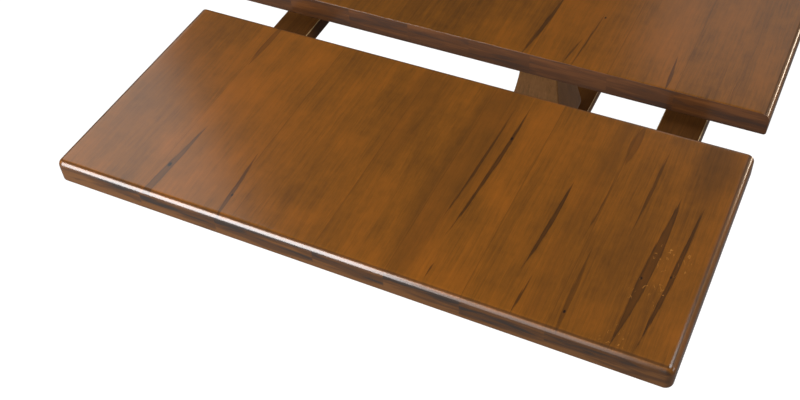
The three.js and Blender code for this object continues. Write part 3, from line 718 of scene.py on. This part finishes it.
# %% Sawn ends
def sawn_end(g, number, y, z, tones, grey_above):
    """The colour of a sawn end: long flat bands of growth, with fine lines, in three tones. Above
    the height grey_above the wood is darker and greyer: partly the end grain's own bands, partly
    painted shade and reflection below the highlight on the rounded edge above it."""
    bands = g.noise(g.vector(g.math("MULTIPLY", number, 3.1), g.math("MULTIPLY", y, 7.0),
                             g.math("MULTIPLY", z, 75.0)), 1.0, 3.0, 0.55, 0.4)
    lines = g.noise(g.vector(0.0, g.math("MULTIPLY", y, 22.0), g.math("MULTIPLY", z, 420.0)),
                    1.0, 3.0, 0.6)
    bands = g.math("MULTIPLY_ADD", g.math("SUBTRACT", lines, 0.5), 0.25, bands)
    # darker and greyer above grey_above: the grain's own bands, and painted shade and reflection
    if grey_above:
        lift = g.remap(z, grey_above - 0.016, grey_above + 0.014, -0.19, 0.08)
        bands = g.math("ADD", bands, lift)
    pale, middle, dark = (linear(*tone) for tone in tones)
    colour = g.mix(g.remap(bands, 0.34, 0.50, smooth=True), pale, middle)
    return g.mix(g.remap(bands, 0.52, 0.62, smooth=True), colour, dark)


# %% The finish
def lacquer(g, grain, film, film_rough):
    """The film over the stain, and the fibres and rings that still show as relief under it."""
    g.feed(g.shader.inputs["Roughness"], g.remap(grain.fibre, 0.2, 0.8, 0.40, 0.52))
    g.shader.inputs["Specular IOR Level"].default_value = 0.15
    g.shader.inputs["Coat Weight"].default_value = film
    g.shader.inputs["Coat Roughness"].default_value = film_rough
    g.shader.inputs["Coat IOR"].default_value = 1.5
    bump = g.node("ShaderNodeBump")
    bump.inputs["Strength"].default_value = 0.12
    bump.inputs["Distance"].default_value = 0.0004
    relief = g.math("MULTIPLY_ADD", grain.rings, 0.35, g.math("MULTIPLY", grain.fibre, 0.65))
    g.feed(bump.inputs["Height"], relief)
    g.tree.links.new(bump.outputs[0], g.shader.inputs["Normal"])


# %% The wood itself
SHADE_SOFTNESS = 0.03
STREAK_SOFTNESS = 0.0014
GLUE_LINE = 0.0012
SQUIGGLE_GOLD = linear(176, 118, 52)
WORM_HOLE = linear(22, 14, 9)
# the pale colour of a painted edge highlight
PAINTED_EDGE_HIGHLIGHT = linear(190, 158, 112)


def maple(name, tones, joints=(), seed=0.0, streaks=(), holes=(), shades=(), board_tones=None,
          squiggles=(), figure=1.0, wild=0.35, film=1.0, film_rough=0.18, grain_axis="X", blotch=1.0,
          sawn_tones=((84, 54, 30), (62, 39, 22), (42, 31, 25)), grey_above=None, painted_edge_shade=0.0,
          painted_edge_light=0.0):
    """Stained maple with its grain along one axis.

    tones are four colours: light, middle, dark and streak. figure is how strongly the grain shows,
    blotch how cloudy the stain is, wild how much of the random streaking shows, and film how much
    clear finish lies over the stain. The last two arguments paint light on the edges: the first is how
    much painted shade darkens an upper edge where it starts to turn down, the second how much of a
    painted highlight pales the faces of eased edges that lie at 45 degrees.
    """
    g = Graph(name)
    coordinates = g.node("ShaderNodeTexCoord")
    parts = g.node("ShaderNodeSeparateXYZ")
    g.tree.links.new(coordinates.outputs["Object"], parts.inputs[0])
    facing = g.node("ShaderNodeSeparateXYZ")
    g.tree.links.new(coordinates.outputs["Normal"], facing.inputs[0])
    order = {"X": (0, 1, 2), "Y": (1, 0, 2), "Z": (2, 0, 1)}[grain_axis]
    x, y, z = (parts.outputs[k] for k in order)
    grain = Grain(g, x, y, z, joints, seed)

    light, middle, dark, streak = (linear(*tone) for tone in tones)
    tone = stain_tone(g, grain, y, joints, board_tones, figure, blotch)
    colour = g.mix(g.remap(tone, 0.0, 0.5), dark, middle)
    colour = g.mix(g.remap(tone, 0.5, 1.0), colour, light)
    if shades:
        colour = g.mix(streak_mask(g, x, grain.y, shades, SHADE_SOFTNESS), colour, dark)

    marks = loose_streaks(g, grain, y, z, wild)
    if streaks:
        ragged = g.math("MULTIPLY_ADD", grain.wander, 0.008, y)
        ragged = g.math("MULTIPLY_ADD", g.math("SUBTRACT", grain.lines, 0.5), 0.007, ragged)
        marks = g.math("MAXIMUM", marks, streak_mask(g, x, ragged, streaks, STREAK_SOFTNESS))
    marks = g.math("MULTIPLY", marks, g.remap(grain.fibre, 0.25, 0.7, 0.72, 1.0))
    colour = g.mix(marks, colour, streak)
    if joints:
        line = g.math("MULTIPLY", near_joint(g, y, joints, GLUE_LINE), 0.30)
        colour = g.mix(line, colour, streak)
    if squiggles:
        gold = g.math("MULTIPLY", squiggle_mask(g, x, y, squiggles), 0.55)
        colour = g.mix(gold, colour, SQUIGGLE_GOLD)
    if holes:
        colour = g.mix(hole_mask(g, x, y, holes), colour, WORM_HOLE)

    end_grain = g.remap(g.math("ABSOLUTE", facing.outputs[order[0]]), 0.55, 0.95, smooth=True)
    colour = g.mix(end_grain, colour, sawn_end(g, grain.number, y, z, sawn_tones, grey_above))

    # painted highlight: paler where two faces meet at 45 degrees, on the rounding of eased edges
    sideways, upwards = (g.math("ABSOLUTE", facing.outputs[k]) for k in (1, 2))
    corner = g.math("MULTIPLY", sideways, upwards)
    colour = g.mix(g.remap(corner, 0.28, 0.42, 0.0, painted_edge_light, smooth=True), colour, PAINTED_EDGE_HIGHLIGHT)
    # painted shade: darker where an upper edge starts to turn down
    tilt = g.math("ABSOLUTE", g.math("SUBTRACT", upwards, 0.90))
    colour = g.mix(g.remap(tilt, 0.03, 0.09, painted_edge_shade, 0.0, smooth=True), colour, streak)

    g.feed(g.shader.inputs["Base Color"], colour)
    lacquer(g, grain, film, film_rough)
    return g.material


# %% [markdown]
# ## What each board looks like
#
# The boards and their streaks are laid out in metres on the table, as a maker would choose and lay
# out boards. A streak is given by its middle, half its length, half its width, how far it slants
# across the grain, how far its ends bend aside, and how dark it is. A hole and a patch of
# squiggles are given by their middle and radius.

# %% Lay out the leaf
TOP_TONES = [(129, 74, 16), (104, 62, 14), (66, 40, 12), (44, 25, 8)]
LEAF_JOINTS = (-0.345, -0.212, -0.087, 0.036, 0.215, 0.361)
LEAF_BOARD_TONES = (0.49, 0.57, 0.65, 0.53, 0.55, 0.66, 0.56)
LEAF_STREAKS = [
    # x, y, half length, half width, slope, bend, strength
    (-1.450, 0.346, 0.165, 0.0070, -0.06, 0.000, 0.80),
    (-1.060, 0.357, 0.080, 0.0060, -0.02, 0.000, 0.55),
    (-1.425, 0.212, 0.110, 0.0040, 0.07, 0.002, 0.85),
    (-1.202, -0.131, 0.160, 0.0027, -0.037, 0.003, 0.80),
    (-1.205, -0.154, 0.172, 0.0040, -0.049, 0.004, 0.95),
    (-1.287, -0.282, 0.108, 0.0042, -0.057, 0.003, 0.95),
    (-1.430, -0.292, 0.048, 0.0024, -0.073, 0.000, 0.85),
    (-1.443, -0.149, 0.022, 0.0014, -0.05, 0.000, 0.85),
    (-1.065, -0.349, 0.060, 0.0070, -0.03, 0.000, 0.50),
    (-1.222, -0.343, 0.085, 0.0018, -0.04, 0.003, 0.70),
    (-1.400, -0.360, 0.110, 0.0040, 0.02, 0.000, 0.60),
    (-1.155, -0.404, 0.115, 0.0030, -0.024, 0.002, 0.75),
    (-1.315, -0.447, 0.165, 0.0086, -0.052, 0.004, 0.90),
    (-1.310, -0.484, 0.162, 0.0045, -0.060, 0.003, 0.95),
]
LEAF_SHADES = [
    # the same, for broad soft changes of tone
    (-1.20, -0.105, 0.40, 0.050, -0.02, 0.000, 0.34),
    (-1.10, 0.020, 0.22, 0.050, -0.02, 0.000, 0.22),
    (-1.15, -0.322, 0.30, 0.016, -0.05, 0.000, 0.45),
    (-1.42, -0.320, 0.16, 0.014, -0.05, 0.000, 0.40),
    (-1.06, -0.490, 0.12, 0.040, 0.00, 0.000, 0.45),
    (-1.20, 0.480, 0.30, 0.040, 0.00, 0.000, 0.15),
    (-1.32, -0.400, 0.12, 0.020, 0.00, 0.000, 0.25),
]
LEAF_HOLES = [
    (-1.405, 0.345, 0.0040), (-1.425, 0.210, 0.0024), (-1.130, -0.157, 0.0030),
    (-1.333, -0.442, 0.0022), (-1.315, -0.481, 0.0020), (-1.435, -0.360, 0.0024),
]
LEAF_SQUIGGLES = [(-1.28, -0.475, 0.045), (-1.355, -0.462, 0.040), (-1.45, -0.440, 0.030)]

# %% Lay out the fixed top
TOP_JOINTS = (-0.370, -0.250, -0.105, 0.015, 0.140, 0.265, 0.395)
TOP_STREAKS = [
    (-0.820, -0.099, 0.120, 0.0046, -0.081, 0.002, 0.85),
    (-0.836, -0.188, 0.100, 0.0022, -0.050, 0.002, 0.80),
    (-0.878, -0.171, 0.046, 0.0026, -0.140, 0.000, 0.75),
    (-0.866, -0.350, 0.052, 0.0026, 0.040, 0.000, 0.80),
    (-0.888, -0.353, 0.032, 0.0034, 0.000, 0.000, 0.85),
    (-0.866, -0.461, 0.032, 0.0012, -0.030, 0.000, 0.70),
]
TOP_HOLES = [(-0.762, -0.196, 0.0022)]
TOP_BOARD_TONES = (0.49, 0.58, 0.61, 0.48, 0.36, 0.38, 0.48, 0.50)

# %% The wood of the tops
SAWN_TONES = [(92, 58, 26), (68, 42, 20), (42, 32, 26)]
TOP_SAWN_TONES = [(88, 52, 24), (72, 42, 20), (58, 36, 22)]
# the leaf's sawn end is darker and greyer above half its thickness, partly painted shade and
# reflection
half_way = (leaf_low[2] + leaf_high[2]) / 2
# all three tops get painted shade where their upper rounded edges start to turn down
leaf_wood = maple("leaf_maple", TOP_TONES, LEAF_JOINTS, 3.0, LEAF_STREAKS, LEAF_HOLES, LEAF_SHADES,
                  LEAF_BOARD_TONES, LEAF_SQUIGGLES, figure=0.7, wild=0.0, sawn_tones=SAWN_TONES,
                  grey_above=half_way, painted_edge_shade=0.6)
top_wood = maple("top_maple", TOP_TONES, TOP_JOINTS, 11.0, TOP_STREAKS, TOP_HOLES,
                 board_tones=TOP_BOARD_TONES, figure=0.7, wild=0.2, sawn_tones=TOP_SAWN_TONES,
                 painted_edge_shade=0.6)
far_leaf_wood = maple("far_leaf_maple", TOP_TONES, LEAF_JOINTS, 23.0, sawn_tones=SAWN_TONES,
                      grey_above=half_way, painted_edge_shade=0.6)
for wood in (leaf_wood, top_wood, far_leaf_wood):
    print(wood.name, "has", len(wood.node_tree.nodes), "nodes")

# %% The wood of the trestles, the arms and the hidden parts
BASE_TONES = [(116, 72, 32), (96, 59, 25), (70, 43, 18), (50, 31, 14)]
POST_TONES = [(134, 92, 50), (114, 77, 40), (86, 57, 28), (60, 39, 20)]
PLAIN_TONES = [(214, 178, 132), (196, 156, 108), (170, 128, 82), (140, 100, 62)]
upright_wood = maple("upright_maple", POST_TONES, seed=31.0, wild=0.2, film=0.35, grain_axis="Z")
cross_wood = maple("cross_maple", BASE_TONES, seed=41.0, wild=0.2, film=0.35, grain_axis="Y")
# the arms and the stretcher get a painted highlight along their eased edges
long_wood = maple("long_maple", BASE_TONES, seed=51.0, wild=0.2, film=0.35, painted_edge_light=0.9)
plain_cross = maple("plain_cross_maple", PLAIN_TONES, seed=61.0, wild=0.3, grain_axis="Y", film=0.15,
                    film_rough=0.45, blotch=0.6)
plain_long = maple("plain_long_maple", PLAIN_TONES, seed=71.0, wild=0.3, film=0.15, film_rough=0.45,
                   blotch=0.6)
print("woods so far:", sum("maple" in material.name for material in bpy.data.materials))


# %% Zinc-plated steel and moulded nylon
def zinc_steel():
    """Steel under a thin zinc plate: cloudy spangle and fine brushing."""
    g = Graph("zinc_steel")
    place = g.node("ShaderNodeTexCoord").outputs["Object"]
    spangle = g.noise(place, 160.0, 3.0, 0.6)
    brush = g.noise(place, 1400.0, 2.0, 0.5)
    g.feed(g.shader.inputs["Base Color"], g.mix(spangle, linear(150, 150, 148), linear(196, 197, 194)))
    g.feed(g.shader.inputs["Roughness"], g.remap(brush, 0.3, 0.7, 0.28, 0.42))
    g.shader.inputs["Metallic"].default_value = 1.0
    return g.material


def nylon():
    """Moulded nylon, black-brown, with a fine matt grain."""
    g = Graph("glide_nylon")
    place = g.node("ShaderNodeTexCoord").outputs["Object"]
    grain = g.noise(place, 900.0, 2.0, 0.6)
    g.feed(g.shader.inputs["Base Color"], g.mix(grain, linear(30, 27, 25), linear(44, 40, 37)))
    g.feed(g.shader.inputs["Roughness"], g.remap(grain, 0.3, 0.7, 0.5, 0.65))
    bump = g.node("ShaderNodeBump")
    bump.inputs["Strength"].default_value = 0.2
    bump.inputs["Distance"].default_value = 0.0002
    g.feed(bump.inputs["Height"], grain)
    g.tree.links.new(bump.outputs[0], g.shader.inputs["Normal"])
    return g.material


steel, glide_nylon = zinc_steel(), nylon()
print("made", steel.name, "and", glide_nylon.name)

# %% [markdown]
# ## The tops
#
# The fixed top and the leaves meet on square, crisp edges, so that the closed table shows one thin
# line. Every other edge is rounded over.

# %% Make the tops
tops = [
    slab("table_top", False, False, "table", top_wood),
    slab("left_leaf", True, False, "left_leaf", leaf_wood),
    slab("right_leaf", False, True, "right_leaf", far_leaf_wood),
]
for top in tops:
    print(top.name, "has", len(top.data.polygons), "faces")

# %% [markdown]
# ## Underneath
#
# Battens, rails, arms and stop blocks are boards with eased edges. The rails are L-shaped: a lip
# under each arm carries it. Pieces of one kind are found by the end of their name and made in a
# loop, so all of them follow one rule.

# %% Battens
BATTEN_CHAMFER = 0.012
BATTEN_EASE, RAIL_EASE, ARM_EASE, STOP_EASE = 0.003, 0.002, 0.003, 0.002
for node in [n for n in frame["nodes"] if n.endswith("batten")]:
    low, high = span(node)
    home = frame["nodes"][node]["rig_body"]
    outline = [
        (low[1] + BATTEN_CHAMFER, low[2]), (high[1] - BATTEN_CHAMFER, low[2]),
        (high[1], low[2] + BATTEN_CHAMFER), (high[1], high[2]),
        (low[1], high[2]), (low[1], low[2] + BATTEN_CHAMFER),
    ]
    prism(node, outline, "X", low[0], high[0], BATTEN_EASE, home, plain_cross)
    print(node, "is", round(float(high[1] - low[1]), 4), "m long")

# %% Rails
LIP_THICK = 0.012
RAIL_THICK = 0.027
for node in [n for n in frame["nodes"] if n.endswith("rail")]:
    low, high = span(node)
    arm_low, arm_high = span(node.replace("_outer_rail", "_arm").replace("_inner_rail", "_arm"))
    arm_is_higher = arm_low[1] + arm_high[1] > low[1] + high[1]
    if arm_is_higher:
        wall = low[1] + RAIL_THICK
        outline = [(low[1], low[2]), (high[1], low[2]), (high[1], low[2] + LIP_THICK),
                   (wall, low[2] + LIP_THICK), (wall, high[2]), (low[1], high[2])]
    else:
        wall = high[1] - RAIL_THICK
        outline = [(low[1], low[2]), (high[1], low[2]), (high[1], high[2]), (wall, high[2]),
                   (wall, low[2] + LIP_THICK), (low[1], low[2] + LIP_THICK)]
    prism(node, outline, "X", low[0], high[0], RAIL_EASE, "table", plain_long)
    print(node, "has its arm on the", "back" if arm_is_higher else "front")

# %% Arms and stops
for node in [n for n in frame["nodes"] if n.endswith("_arm") and "latch" not in n]:
    home = frame["nodes"][node]["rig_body"]
    arm = board(node, "X", ARM_EASE, home, long_wood)
    board(node + "_stop", "X", STOP_EASE, home, plain_long)
    print(arm.name, "and its stop ride on", home)

# %% [markdown]
# ## The trestles
#
# Each trestle is a square column between a head bar and an arched foot. The column's four sides
# follow one profile: a round urn low down, a slim neck and a flare. It could be modelled from a
# cube, side by side, but one profile keeps the four sides alike.

# %% The outline of a foot
FOOT_TIP, FOOT_FLAT, FOOT_NOSE = 0.046, 0.100, 0.014
ARCH_HALF, ARCH_RISE = 0.240, 0.030
# how far the handles of the curves reach: off the level stretches, up the arch's ends, at the tip
LEVEL_HANDLE, SPRING_HANDLE = 0.090, 0.020
TIP_HANDLE_IN, TIP_HANDLE_UP = 0.110, 0.004


def bezier(a, b, c, d, steps):
    """Points on a cubic Bezier from a to d, the last one left out:
    (1-t)^3 a + 3t(1-t)^2 b + 3t^2(1-t) c + t^3 d."""
    t = (np.arange(steps) / steps)[:, None]
    a, b, c, d = map(np.array, (a, b, c, d))
    return (1 - t) ** 3 * a + 3 * t * (1 - t) ** 2 * b + 3 * t**2 * (1 - t) * c + t**3 * d


def foot_outline(low, high):
    """A foot seen along the table: a level middle, ends that sweep down, an arch underneath."""
    half, top, base = high[1], high[2], low[2]
    tip = base + FOOT_TIP
    rise = base + ARCH_RISE
    arch = bezier((-ARCH_HALF, base), (-ARCH_HALF + SPRING_HANDLE, base + SPRING_HANDLE),
                  (-ARCH_HALF + LEVEL_HANDLE, rise), (0.0, rise), 14)
    sweep = bezier((half - FOOT_NOSE, tip), (half - TIP_HANDLE_IN, tip + TIP_HANDLE_UP),
                   (FOOT_FLAT + LEVEL_HANDLE, top), (FOOT_FLAT, top), 16)
    nose = bezier((half, tip - FOOT_NOSE), (half, tip - 0.4 * FOOT_NOSE),
                  (half - 0.4 * FOOT_NOSE, tip), (half - FOOT_NOSE, tip), 5)
    mirror = np.array([-1.0, 1.0])
    right = np.concatenate([[(half, base)], nose, sweep, [(FOOT_FLAT, top)]])
    left = (right * mirror)[::-1]
    arch_back = (arch * mirror)[::-1]
    return np.concatenate([arch, [(0.0, rise)], arch_back, right, left])


# %% Columns, heads, feet
HEAD_BEVEL, HEAD_END = 0.060, 0.022
HEAD_EASE, FOOT_EASE, STRETCHER_EASE, WEDGE_EASE = 0.003, 0.004, 0.002, 0.002
for end in ("left", "right"):
    post = column(f"{end}_column", "table", upright_wood)
    low, high = span(f"{end}_trestle_head")
    outline = [
        (low[1], high[2] - HEAD_END), (low[1] + HEAD_BEVEL, low[2]), (high[1] - HEAD_BEVEL, low[2]),
        (high[1], high[2] - HEAD_END), (high[1], high[2]), (low[1], high[2]),
    ]
    prism(f"{end}_trestle_head", outline, "X", low[0], high[0], HEAD_EASE, "table", cross_wood,
          corner=2 * HEAD_EASE)
    low, high = span(f"{end}_foot")
    prism(f"{end}_foot", foot_outline(low, high), "X", low[0], high[0], FOOT_EASE, "table",
          cross_wood, corner=2 * FOOT_EASE)
    print(post.name, "stands on a foot", round(float(high[1] - low[1]), 3), "m long")

# %% The stretcher
TENON_HALF = 0.032
FIT_GAP = 0.0003  # between the shoulders of the stretcher and the columns
low, high = span("stretcher")
column_low, column_high = span("right_column")
middle = (column_low[0] + column_high[0]) / 2
shoulder = middle - PLINTH_HALF - FIT_GAP
outline = [
    (-high[0], -TENON_HALF), (-shoulder, -TENON_HALF), (-shoulder, low[1]), (shoulder, low[1]),
    (shoulder, -TENON_HALF), (high[0], -TENON_HALF), (high[0], TENON_HALF), (shoulder, TENON_HALF),
    (shoulder, high[1]), (-shoulder, high[1]), (-shoulder, TENON_HALF), (-high[0], TENON_HALF),
]
prism("stretcher", outline, "Z", low[2], high[2], STRETCHER_EASE, "table", long_wood,
      corner=2 * STRETCHER_EASE)
print("the stretcher is", round(float(2 * shoulder), 4), "m long between its shoulders")

# %% The wedges
WEDGE_NARROWING = 0.007
for end, way in (("left", -1), ("right", 1)):
    low, high = span(f"{end}_stretcher_wedge")
    outer_foot = (low[0] + WEDGE_NARROWING) if way < 0 else (high[0] - WEDGE_NARROWING)
    if way > 0:
        outline = [(low[2], low[0]), (high[2], low[0]), (high[2], high[0]), (low[2], outer_foot)]
    else:
        outline = [(low[2], outer_foot), (high[2], low[0]), (high[2], high[0]), (low[2], high[0])]
    wedge = prism(f"{end}_stretcher_wedge", outline, "Y", low[1], high[1], WEDGE_EASE, "table",
                  upright_wood)
    print(wedge.name, "is", round(float(high[2] - low[2]), 3), "m tall")


# %% [markdown]
# ## Small fittings
#
# Glides, dowels, screws, bolts and pins are turned, with small chamfers. A bolt's head is turned
# with six sides. The latch is a flat steel arm with a round eye and a hook.

# %% Profiles of headed pins and of plain rods
CHAMFER = 0.0006


def pin_profile(low, high, shank, head, head_high):
    """A headed pin standing on its head: the head, then the shank up to the node's top."""
    seat = low[2] + head_high
    return [
        (head - 2 * CHAMFER, low[2]), (head - CHAMFER, low[2]), (head, low[2] + CHAMFER),
        (head, seat - CHAMFER), (head - CHAMFER, seat), (shank, seat),
        (shank, high[2] - CHAMFER), (shank - CHAMFER, high[2]), (shank - 2 * CHAMFER, high[2]),
    ]


def rod_profile(low, high, lower_end, upper_end):
    """A plain rod. Each point of an end is how far it lies in from the side and from that end."""
    radius = high[0] - (low[0] + high[0]) / 2
    lower = [(radius - inwards, low[2] + up) for inwards, up in lower_end]
    upper = [(radius - inwards, high[2] - down) for inwards, down in upper_end]
    return lower + upper


# %% Glides, dowels, screws and pins
# radius of the shank, radius and height of the head
PINS = {
    "head_screw": (0.004, 0.008, 0.004),
    "foot_bolt": (0.005, 0.011, 0.007),
    "latch_pivot": (0.004, 0.008, 0.0025),
    "latch_catch": (0.0035, 0.007, 0.0025),
}
GLIDE_FOOT = [(0.004, 0.0), (0.002, 0.0), (0.0006, 0.0008), (0.0, 0.002)]
GLIDE_TOP = [(0.0, 0.0005), (0.0005, 0.0), (0.002, 0.0)]
DOWEL_FOOT = [(0.002, 0.0), (0.001, 0.0), (0.0, 0.001)]
DOWEL_TOP = [(0.0, 0.003), (0.0008, 0.001), (0.002, 0.0), (0.003, 0.0)]
made = []
for node in frame["nodes"]:
    low, high = span(node)
    centre = (low + high) / 2
    home = frame["nodes"][node]["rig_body"]
    kind = next((k for k in PINS if node.endswith(k)), None)
    if kind:
        sides = 6 if kind == "foot_bolt" else 32
        profile = pin_profile(low, high, *PINS[kind])
        made.append(turned(node, profile, centre, home, steel, sides))
    elif node.endswith("glide"):
        profile = rod_profile(low, high, GLIDE_FOOT, GLIDE_TOP)
        made.append(turned(node, profile, centre, home, glide_nylon))
    elif node.endswith("dowel"):
        profile = rod_profile(low, high, DOWEL_FOOT, DOWEL_TOP)
        made.append(turned(node, profile, centre, home, plain_long, 32))
print("turned pieces:", len(made))

# %% The latches
LATCH_HALF = 0.011
LATCH_PAST_HOOK = 0.016  # the arm goes on this far beyond the middle of its hook
HOOK_RADIUS = 0.0041
LATCH_EASE = 0.0004
for end, way in (("left", -1), ("right", 1)):
    low, high = span(f"{end}_latch_arm")
    pin_low, pin_high = span(f"{end}_latch_pivot")
    pivot = (pin_low + pin_high) / 2
    reach = (high[1] - low[1]) - LATCH_HALF - LATCH_PAST_HOOK
    tip = -reach - LATCH_PAST_HOOK
    around = np.linspace(-math.pi / 2, -1.5 * math.pi, 9)
    seat = np.stack([HOOK_RADIUS * np.cos(around), -reach + HOOK_RADIUS * np.sin(around)], 1)
    eye = np.linspace(0.0, math.pi, 13)
    outline = np.concatenate([
        [(-LATCH_HALF, tip), (LATCH_HALF, tip), (LATCH_HALF, -reach - HOOK_RADIUS)],
        seat,
        [(LATCH_HALF, -reach + HOOK_RADIUS)],
        np.stack([LATCH_HALF * np.cos(eye), LATCH_HALF * np.sin(eye)], 1),
    ])
    outline = outline * way + pivot[:2]
    latch = prism(f"{end}_latch_arm", outline, "Z", low[2], high[2], LATCH_EASE, f"{end}_latch", steel,
                  corner=2 * LATCH_EASE)
    print(latch.name, "reaches", round(float(reach), 4), "m from its pivot to its hook")
